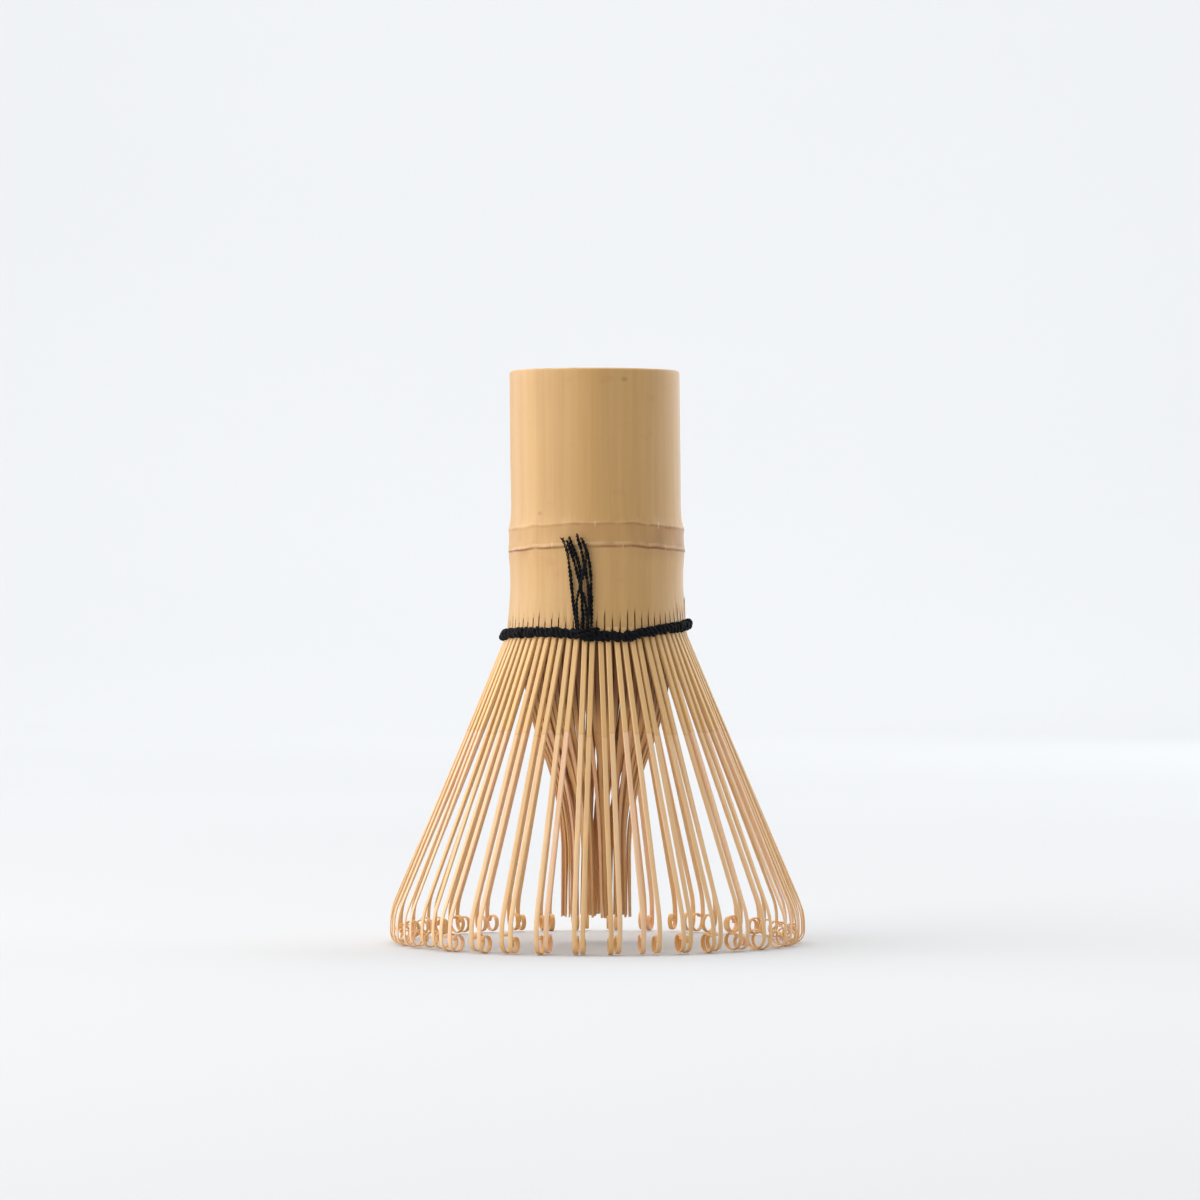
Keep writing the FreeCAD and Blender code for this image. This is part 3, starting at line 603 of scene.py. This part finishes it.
def wander(thing, settings):
    """Makes the culm grow like one: splits of unlike height, a ring that wanders and a section that isn't round."""
    mesh = thing.data
    level = mesh.attributes.new("level", "FLOAT", "POINT")
    tops = split_heights(settings.split_spread / MM)
    for number, vertex in enumerate(mesh.vertices):
        r, z = vertex.co.xy.length / MM, vertex.co.z / MM
        level.data[number].value = z
        angle = math.atan2(vertex.co.y, vertex.co.x)
        around = Vector((math.cos(angle), math.sin(angle), 0))
        if z < SLIT_BLEND and r > 11:  # the wall that is split
            steps = angle / PITCH
            near = max(0.0, 1 - abs(steps - round(steps)) * FACETS_IN_SPLIT)
            if near > 0.3:
                angle -= (steps - round(steps)) * PITCH * 0.1
                around = Vector((math.cos(angle), math.sin(angle), 0))
            rise = (z - SKIRT_END) / (APEX - SKIRT_END) if z < APEX else (SLIT_BLEND - z) / (SLIT_BLEND - APEX)
            z += near * rise * tops[round(steps) % TINES]
        for lip in (SCAR_LEVEL, RIDGE_LEVEL):
            if r > LIP_FOOT and abs(z - lip) < LIP_REACH:
                worn = 0.45 + 1.1 * noise.noise(around * 4.5 + UP * lip)
                r -= (r - LIP_FOOT) * min(1.0, max(0.0, worn)) * 0.8
        node = math.exp(-(((z - NODE_MIDDLE) / 3.2) ** 2)) if r > INSIDE_SKIN else 0.0
        wave = noise.noise(around * 1.6 + Vector((3, 1, 0))) + 0.45 * noise.noise(around * 6.5)
        arch = 0.9 * (max(0.0, -around.y) - 0.6)
        z += node * (wave * settings.wave / MM * 1.8 + arch)
        lump = noise.noise(around * 2.2 + UP * z * 0.05) * 0.10 + noise.noise(around * 9 + UP * z * 0.5) * 0.018
        lump += node * noise.noise(around * 14 + UP * z * 0.9) * 0.035
        if r > INSIDE_SKIN and z > SKIRT_END + 1.5:
            r += lump * min(1.0, (z - SKIRT_END - 1.5) / 4)
        sway = HANDLE_SWAY * max(0.0, z - SLIT_BLEND) / (TOP - SLIT_BLEND)
        vertex.co = Vector((around.x * r + sway, around.y * r, z)) * MM


def face_finish(polygon):
    """Which of the culm's finishes a face takes: 0 is skin, 1 is cut wall and 2 is the hollow."""
    centre, normal = polygon.center, polygon.normal
    radius = centre.xy.length
    outwards = normal.xy.dot(centre.xy) / max(radius, 1e-9)
    if centre.z > (TOP - 0.09) * MM and normal.z > 0.6:
        return 1
    if radius > INSIDE_SKIN * MM and outwards > 0.5:
        return 0
    return 1 if centre.z < SLIT_BLEND * MM and abs(outwards) < 0.5 else 2


class WHISK_OT_culm(bpy.types.Operator):
    """Models the handle: the culm with its node, diaphragm, cut end and the splits above the lacing"""

    bl_idname = "whisk.culm"
    bl_label = "Culm"

    def execute(self, context):
        settings = context.scene.whisk_culm
        culm = make_culm_slice()
        turn = bpy.data.objects.new("turn", None)
        turn.rotation_euler.z = PITCH
        context.collection.objects.link(turn)
        context.view_layer.update()
        put_modifier(
            culm, "ARRAY", count=TINES, use_relative_offset=False, use_object_offset=True, offset_object=turn)
        drop(turn)
        outward(culm)
        for height in (CULM_OUTLINE[0][1], CULM_OUTLINE[-1][1]):
            pick(lambda co: co.xy.length < 0.05 * MM and abs(co.z - height * MM) < 1e-6)
            bpy.ops.mesh.merge(type="CENTER")
        object_mode()
        wander(culm, settings)
        for material in (culm_skin(settings), culm_cut(settings), culm_inside(settings)):
            culm.data.materials.append(material)
        for polygon in culm.data.polygons:
            polygon.material_index = face_finish(polygon)
        culm.name = culm.data.name = "culm_handle"
        smooth(culm, 40)
        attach(culm, "culm")
        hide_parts("handle")
        return {"FINISHED"}


# ---- the tines
def make_strip(stations):
    """A straight strip along +X whose outer face lies in the plane of X and Z. stations are (distance, width,
    thickness) in mm."""
    start()
    first, width, thick = stations[0]
    bpy.ops.mesh.primitive_plane_add(size=1, rotation=(0, math.pi / 2, 0))
    strip = bpy.context.object
    strip.scale = (width * MM, thick * MM, 1)
    strip.location = (first * MM, -thick / 2 * MM, 0)
    set_in_place()
    edit_all()
    bpy.ops.mesh.bevel(offset=min(width, thick) * 0.16 * MM, affect="VERTICES")
    for (x0, w0, t0), (x1, w1, t1) in zip(stations, stations[1:]):
        bpy.ops.mesh.extrude_region_move(TRANSFORM_OT_translate={"value": ((x1 - x0) * MM, 0, 0)})
        bpy.ops.transform.resize(value=(1, t1 / t0, w1 / w0), center_override=(x1 * MM, 0, 0))
    object_mode()
    outward(strip)
    along = strip.data.uv_layers.new(name="strip")
    for polygon in strip.data.polygons:
        polygon.material_index = 0 if polygon.normal.y > 0.5 else 1
        for loop in polygon.loop_indices:
            co = strip.data.vertices[strip.data.loops[loop].vertex_index].co / MM
            along.data[loop].uv = (co.x, co.z if abs(polygon.normal.y) > 0.5 else co.y)
    return strip


def trace(place, headings, step):
    """The line that starts at a place (outwards, up) and turns through the headings, a step apart. A heading of 0 is
    straight down, and a positive one leans outwards."""
    points = [Vector(place)]
    for heading in headings:
        points.append(points[-1] + Vector((math.sin(heading), -math.cos(heading))) * step)
    return points


STEP = 0.3  # mm between the points of an outer tine's line
LEAD_IN = 1.6  # mm over which an outer tine turns out from under the lacing
OUTER_ROOT, INNER_ROOT = (15.03, 53.15), (12.6, 53.0)  # (outwards, up) in mm
# How far the four tines of a group lean towards each other, in degrees about their roots
CLUMPS = [(1, -1, 1, -1), (0.9, -0.8, 0.7, -0.9), (0.3, 0.9, -0.9, -0.2), (1, -0.7, 0.2, -0.3),
          (0.4, -0.2, 0.9, -0.9), (0.8, -0.1, -0.9, -0.2), (0.2, 0.9, 0.1, -0.9)]


def outer_line(splay, straight, bend, hook, bow, length):
    """Side view of an outer tine in mm: out of the lacing, straight, down round a bend and back up in a hook."""
    headings, along = [], 0.0
    bend_start = LEAD_IN + straight
    drop_start = bend_start + bend * splay
    hook_start = drop_start + 1.2
    while along < length:
        if along < LEAD_IN:
            heading = splay * along / LEAD_IN
        elif along < bend_start:
            share = (along - LEAD_IN) / straight
            heading = splay + bow * math.sin(math.tau * share)
        elif along < drop_start:
            heading = splay - (along - bend_start) / bend
        elif along < hook_start:
            heading = 0.0
        else:
            turned = (along - hook_start) / hook
            heading = -turned * (1 + 0.07 * turned)
        headings.append(heading)
        along += STEP
    return trace(OUTER_ROOT, headings, STEP)


def bend_strip(strip, line):
    """A copy of a strip bent along a line of its side view and stood up in the plane of X and Z."""
    made = copy_of(strip)
    path = guide([(p.x * MM, p.y * MM) for p in line], flat=True)
    put_modifier(made, "CURVE", object=path, deform_axis="POS_X")
    drop(path)
    made.data.transform(Matrix.Rotation(math.pi / 2, 4, "X"))
    return made


def set_tine(tine, azimuth, root, lean, roll, axis, tone):
    """Turns a tine about its root and to its azimuth, and gives it a tone of its own."""
    root = Vector((root[0] * MM, 0, root[1] * MM))
    turn = Matrix.Rotation(azimuth, 4, "Z") @ Matrix.Translation(root)
    turn = turn @ Matrix.Rotation(lean, 4, "X") @ Matrix.Rotation(roll, 4, axis) @ Matrix.Translation(-root)
    tine.data.transform(turn)
    shade = tine.data.attributes.new("tone", "FLOAT", "POINT")
    shade.data.foreach_set("value", [tone] * len(tine.data.vertices))


def finish_tines(tines, name, materials, node):
    """Makes one piece of a group of tines, gives it its finishes and hides the part that it stands for."""
    piece = join(tines, name)
    for material in materials:
        piece.data.materials.append(material)
    smooth(piece, 30)
    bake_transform(piece)
    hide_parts(node)


class WHISK_OT_outer_tines(bpy.types.Operator):
    """Models the ring of outer tines: strips that splay out, turn down and end in hooks"""

    bl_idname = "whisk.outer_tines"
    bl_label = "Outer tines"

    def execute(self, context):
        settings = context.scene.whisk_tines
        length = 64.3
        width, tip = settings.width / MM, settings.tip_width / MM
        stations = []
        along = 0.0
        while along < length:
            share = along / length
            stations.append((along, width + (tip - width) * share, 0.76 - 0.54 * min(1.0, share * 1.15)))
            along += 0.45 if along > 44 else 0.55 if along < 2.2 else 4.0
        strip = make_strip(stations)
        skin = tine_wood("tine_skin", settings, settings.skin, settings.shaved)
        # the sides darken towards the lacing in painted shade
        flesh = tine_wood("tine_flesh_painted_shade", settings, settings.flesh, settings.flesh, root=0.45)
        draw = random.Random(21)
        for group in range(OUTER_GROUPS):
            clump = draw.choice(CLUMPS)
            tines = []
            for place in range(OUTER_IN_GROUP):
                number = group * OUTER_IN_GROUP + place
                azimuth = FIRST_OUTER + number * PITCH
                splay = settings.splay + math.radians(draw.uniform(-0.45, 0.35))
                bend, hook = draw.uniform(8.5, 11.5), draw.uniform(1.75, 2.3)
                bow = math.radians(draw.uniform(-0.7, 0.7))
                lift = draw.uniform(0.0, 0.35)
                straight = 44.0  # a first try, put right so that the hook clears the floor by the lift
                lowest = min(p.y for p in outer_line(splay, straight, bend, hook, bow, length))
                straight += (lowest - lift) / math.cos(splay)
                line = outer_line(splay, straight, bend, hook, bow, length)
                tine = bend_strip(strip, line)
                lean = math.radians(clump[place] * draw.uniform(0.85, 1.05) + draw.uniform(-0.12, 0.12))
                roll = math.radians(draw.uniform(-4, 4))
                axis = Vector((math.sin(splay), 0, -math.cos(splay)))
                set_tine(tine, azimuth, OUTER_ROOT, lean, roll, axis, draw.random())
                tines.append(tine)
            finish_tines(tines, f"hooked_tines_{group + 1:02d}", (skin, flesh), f"outer_tines_{group + 1:02d}")
        drop(strip)
        return {"FINISHED"}


def inner_line(tip_radius, length):
    """Side view of an inner tine in mm: down, over towards the bundle in an S and down to its tip."""
    top, end, step = 50.0, 15.0, 0.5
    across, down = INNER_ROOT[0] - tip_radius, top - end
    turn = 2 * math.atan(across / down)
    radius = down / 2 / math.sin(turn)
    arc = radius * turn
    headings, along = [], 0.0
    while along < length:
        into = along - (INNER_ROOT[1] - top)
        if into < 0 or into > 2 * arc:
            heading = 0.0
        else:
            heading = -min(into, 2 * arc - into) / radius
        headings.append(heading)
        along += step
    return trace(INNER_ROOT, headings, step)


class WHISK_OT_inner_tines(bpy.types.Operator):
    """Models the inner tines: thin strips that close in to a bundle"""

    bl_idname = "whisk.inner_tines"
    bl_label = "Inner tines"

    def execute(self, context):
        settings = context.scene.whisk_tines
        length = 49.5
        stations = []
        for step in range(26):
            share = step / 25
            stations.append((share * length, 1.04 - 0.96 * share + 0.32 * share**2, 0.42 - 0.24 * share))
        strip = make_strip(stations)
        # the inner tines darken towards the lacing in painted shade
        face = tine_wood("inner_tine_face_painted_shade", settings, settings.flesh, settings.flesh, root=0.8)
        draw = random.Random(33)
        for group in range(INNER_GROUPS):
            tines = []
            for place in range(INNER_IN_GROUP):
                number = group * INNER_IN_GROUP + place
                azimuth = FIRST_INNER + number * PITCH
                tip_radius = (4.3 if number % 2 == 0 else 5.5) + draw.uniform(-0.25, 0.25)
                tine = bend_strip(strip, inner_line(tip_radius, length - draw.uniform(0.0, 1.2)))
                lean = settings.swirl + math.radians(draw.uniform(-0.25, 0.25))
                set_tine(tine, azimuth, INNER_ROOT, lean, math.radians(draw.uniform(-6, 6)), "Z", draw.random())
                tines.append(tine)
            finish_tines(tines, f"bundle_tines_{group + 1:02d}", (face, face), f"inner_tines_{group + 1:02d}")
        drop(strip)
        return {"FINISHED"}


# ---- the thread
def make_thread(length, thickness, turns_per_mm, path, parted=0.86):
    """A two-ply thread bent along a path: two round plies turned about their common axis. parted is how far apart the
    plies are, where 1 is just touching."""
    ply = thickness * 0.29
    pitch = 1 / turns_per_mm
    start()
    bpy.ops.mesh.primitive_circle_add(
        vertices=8, radius=ply * MM, location=(0, ply * parted * MM, 0), rotation=(0, math.pi / 2, 0))
    thread = bpy.context.object
    set_in_place()
    edit_all()
    bpy.ops.mesh.duplicate_move(TRANSFORM_OT_translate={"value": (0, -2 * ply * parted * MM, 0)})
    object_mode()
    turns = max(1, round(length / pitch))
    put_modifier(thread, "SCREW", axis="X", angle=math.tau, screw_offset=length / turns * MM, steps=10,
                 render_steps=10, iterations=turns, use_merge_vertices=False)
    make_active(thread)
    edit_all()
    bpy.ops.mesh.fill_holes(sides=8)
    object_mode()
    outward(thread)
    line = guide([tuple(c * MM for c in p) for p in path], flat=False)
    put_modifier(thread, "CURVE", object=line, deform_axis="POS_X")
    drop(line)
    return thread


def roughen(thing, amount):
    """Lifts and sinks the thread's surface a little, at random, so that it isn't even."""
    mesh = thing.data
    normals = [vertex.normal.copy() for vertex in mesh.vertices]
    for vertex, normal in zip(mesh.vertices, normals):
        place = vertex.co / MM
        swell = noise.noise(place * 0.8) + 0.7 * noise.noise(place * 2.6 + UP * 9)
        vertex.co += normal * swell * amount * MM


def band_level(azimuth):
    """Height of the lacing's middle, which wanders round the whisk."""
    angle = (math.degrees(azimuth) + 180) % 360 - 180
    for (a0, z0), (a1, z1) in zip(BAND_WAVE, BAND_WAVE[1:]):
        if angle <= a1:
            share = (angle - a0) / (a1 - a0)
            return z0 + (z1 - z0) * (0.5 - 0.5 * math.cos(math.pi * share))


def against_tines(height):
    """How far out the tines' faces are at a height, beyond their roots."""
    splay = math.radians(23)
    return max(0.0, 52.5 - height) * math.tan(splay)


def band_path(phase, begin):
    """One of the lacing's strands: it passes over the others and tucks in behind them."""
    points = []
    count = TINES * 6  # six points to a tine
    for k in range(count + 1):
        azimuth = begin + math.tau * k / count
        swing = azimuth / PITCH / STRANDS * math.tau + phase
        loose = noise.noise(Vector((math.cos(azimuth), math.sin(azimuth), phase)) * 11)
        height = band_level(azimuth) + (0.46 + 0.10 * loose) * math.cos(swing) + 0.10 * loose
        radius = BAND_RADIUS + TUCK * math.sin(swing) + against_tines(height) * 0.9 + 0.08 * loose
        points.append((radius * math.cos(azimuth), radius * math.sin(azimuth), height))
    return points


def on_front(side, stand_off, height):
    """A place in front of the culm, which swells to its ridge: sideways from the middle, and off the bamboo."""
    radius = 14.72 + max(0.0, height - 64) * 0.05 - max(0.0, height - 67) * 0.06 + stand_off
    return (side, -math.sqrt(radius * radius - side * side), height)


class WHISK_OT_lacing(bpy.types.Operator):
    """Models the lacing: strands of black thread twined round the roots of the outer tines, and one inside them"""

    bl_idname = "whisk.lacing"
    bl_label = "Lacing"

    def execute(self, context):
        settings = context.scene.whisk_thread
        thick = settings.band_thread / MM
        black = cotton(settings)
        begin = math.radians(-98)
        strands = []
        for number in range(STRANDS):
            path = band_path(math.tau * number / STRANDS, begin)
            strands.append(make_thread(line_length(path), thick, 0.45, path, parted=0.60))
        ring = [(13.4 * math.cos(begin + a), 13.4 * math.sin(begin + a), 52.0 + 0.12 * math.sin(9 * a))
                for a in (math.tau * k / 144 for k in range(145))]
        inside = make_thread(line_length(ring), 0.62, 0.6, ring)
        finish_thread(strands, "lacing_band", black, 0.20, "lacing_upper_round", "lacing_lower_round")
        finish_thread([inside], "lacing_inside", black, 0.20, "lacing_inner_round")
        return {"FINISHED"}


def finish_thread(parts, name, material, rough, *nodes):
    """Makes one piece of some threads, which stays with the culm and stands for the named nodes."""
    piece = join(parts, name)
    roughen(piece, rough)
    piece.data.materials.append(material)
    smooth(piece, 60)
    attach(piece, "culm")
    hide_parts(*nodes)


def make_fray(end, draw):
    """The loose fibres of a cut end, fanned out of it."""
    fibres = []
    for _ in range(7):
        start()
        bpy.ops.mesh.primitive_cone_add(vertices=5, radius1=0.08 * MM, radius2=0.03 * MM, depth=1.0 * MM,
                                        location=(0, 0, 0.5 * MM))
        fibre = bpy.context.object
        set_in_place()
        edit_all()
        bpy.ops.mesh.subdivide(number_cuts=2)
        object_mode()
        lean = Matrix.Rotation(draw.uniform(-0.55, 0.55), 4, "X") @ Matrix.Rotation(draw.uniform(-0.6, 0.6), 4, "Y")
        size = Matrix.Diagonal((1, 1, draw.uniform(0.30, 0.55), 1))
        off = Vector((draw.uniform(-0.14, 0.14), draw.uniform(-0.14, 0.14), -0.25))
        fibre.data.transform(Matrix.Translation((Vector(end) + off) * MM) @ lean @ size)
        fibres.append(fibre)
    return fibres


class WHISK_OT_knot(bpy.types.Operator):
    """Models the knot at the front of the lacing and the six cut ends that rise from it"""

    bl_idname = "whisk.knot"
    bl_label = "Knot and thread ends"

    def execute(self, context):
        settings = context.scene.whisk_thread
        thick = settings.end_thread / MM
        black = cotton(settings)
        draw = random.Random(5)
        for number, route in enumerate(THREAD_ENDS):
            path = [on_front(*point) for point in route]
            end = make_thread(line_length(path) * 0.985, thick, 0.72, path)
            parts = [end] + make_fray(path[-1], draw)
            finish_thread(parts, f"thread_end_{number + 1}", black, 0.10, f"thread_tail_{number + 1}")
        wraps = []
        for low, high, off in ((51.5, 52.3, 1.95), (52.2, 52.9, 1.85)):
            route = [(-4.3, 0.7, low + 0.2), (-3.7, off - 0.35, low), (-2.2, off + 0.35, (low + high) / 2),
                     (-0.7, off - 0.35, high), (0.0, 0.7, high - 0.1)]
            path = [on_front(*point) for point in route]
            wraps.append(make_thread(line_length(path), thick * 1.05, 0.7, path))
        finish_thread(wraps, "lacing_knot_wraps", black, 0.10, "lacing_knot")
        return {"FINISHED"}


# ---- the stage
class WHISK_OT_stage(bpy.types.Operator):
    """Sets up the camera, the pale floor with its backdrop, and soft studio light"""

    bl_idname = "whisk.stage"
    bl_label = "Stage"

    def execute(self, context):
        settings = context.scene.whisk_stage
        start()
        bpy.ops.object.camera_add(
            location=(0.55 * MM, -settings.distance, settings.eye_level), rotation=(math.pi / 2, 0, 0))
        camera = context.object
        camera.data.lens = settings.lens
        camera.data.sensor_width = 36
        context.scene.camera = camera

        bpy.ops.mesh.primitive_plane_add(size=6, location=(0, 0, 0))
        floor = context.object
        set_in_place()
        pick(lambda co: co.y > 2.9)
        bpy.ops.mesh.extrude_region_move(TRANSFORM_OT_translate={"value": (0, 0, 3.0)})
        pick(lambda co: co.y > 2.9 and co.z < 0.01)
        bpy.ops.mesh.bevel(offset=1.4, segments=16, affect="EDGES")
        object_mode()
        floor.name = floor.data.name = "floor"
        smooth(floor, 40)
        plaster = Finish("pale_floor", Roughness=0.9)
        tone = plaster.clouds(plaster.place(), (3, 3, 3), detail=1)
        paler = 0.845 - plaster.line(plaster.split(plaster.place())[1], 0.6, 0.1, 1.1) * 0.215
        floor.data.materials.append(
            plaster.finish(Base_Color=plaster.tint(settings.floor, tone * 0.02 + paler)))

        context.scene.view_settings.view_transform = "Standard"
        world = bpy.data.worlds.new("studio")
        world.use_nodes = True
        sky = world.node_tree.nodes["Background"]
        sky.inputs["Color"].default_value = (0.93, 0.96, 1.0, 1.0)
        sky.inputs["Strength"].default_value = 0.42
        context.scene.world = world
        for name, place, aim, size, power, colour in (
            ("key", (-0.97, -0.36, 0.40), (0, 0, 0.05), 1.5, 15.5, (1.0, 0.98, 0.96)),
            ("rim", (-0.95, 0.62, 0.30), (0, 0, 0.06), 0.8, 4.0, (0.95, 0.97, 1.0)),
            ("fill", (0.85, 0.30, 0.35), (0, 0, 0.06), 0.7, 2.1, (0.95, 0.97, 1.0)),
            ("edge", (0.70, 1.00, 0.30), (0, 0, 0.06), 0.8, 2.6, (0.95, 0.97, 1.0)),
            ("top", (0.0, 0.35, 1.3), (0, 0.1, 0), 1.2, 5.0, (1.0, 1.0, 1.0)),
            ("wall", (0.0, 1.0, 2.4), (0, 2.9, 0.3), 2.0, 58.0, (1.0, 1.0, 1.0)),
        ):
            start()
            bpy.ops.object.light_add(type="AREA", location=place)
            lamp = context.object
            lamp.name = lamp.data.name = name
            lamp.data.shape, lamp.data.size = "SQUARE", size
            lamp.data.energy, lamp.data.color = power, colour
            lamp.rotation_euler = (Vector(aim) - Vector(place)).to_track_quat("-Z", "Y").to_euler()
        return {"FINISHED"}


# ---- panel and start
SETTINGS = {
    "whisk_culm": WhiskCulmSettings,
    "whisk_tines": WhiskTineSettings,
    "whisk_thread": WhiskThreadSettings,
    "whisk_stage": WhiskStageSettings,
}
OPERATORS = (
    WHISK_OT_stage, WHISK_OT_culm, WHISK_OT_outer_tines, WHISK_OT_inner_tines, WHISK_OT_lacing, WHISK_OT_knot)


class WHISK_PT_panel(bpy.types.Panel):
    """Lists the whisk's pieces and their settings"""

    bl_idname = "WHISK_PT_panel"
    bl_label = "Tea whisk"
    bl_space_type = "VIEW_3D"
    bl_region_type = "UI"
    bl_category = "Whisk"

    def draw(self, context):
        for operator in OPERATORS:
            self.layout.operator(operator.bl_idname)
        for name, group in SETTINGS.items():
            box = self.layout.box()
            for prop in group.__annotations__:
                box.prop(getattr(context.scene, name), prop)


CLASSES = (*SETTINGS.values(), *OPERATORS, WHISK_PT_panel)


def register():
    for cls in CLASSES:
        bpy.utils.register_class(cls)
    for name, group in SETTINGS.items():
        setattr(bpy.types.Scene, name, bpy.props.PointerProperty(type=group))


def unregister():
    for name in SETTINGS:
        delattr(bpy.types.Scene, name)
    for cls in reversed(CLASSES):
        bpy.utils.unregister_class(cls)


def main():
    register()
    bpy.ops.whisk.stage()
    bpy.ops.whisk.culm()
    bpy.ops.whisk.outer_tines()
    bpy.ops.whisk.inner_tines()
    bpy.ops.whisk.lacing()
    bpy.ops.whisk.knot()


if __name__ == "__main__":
    main()
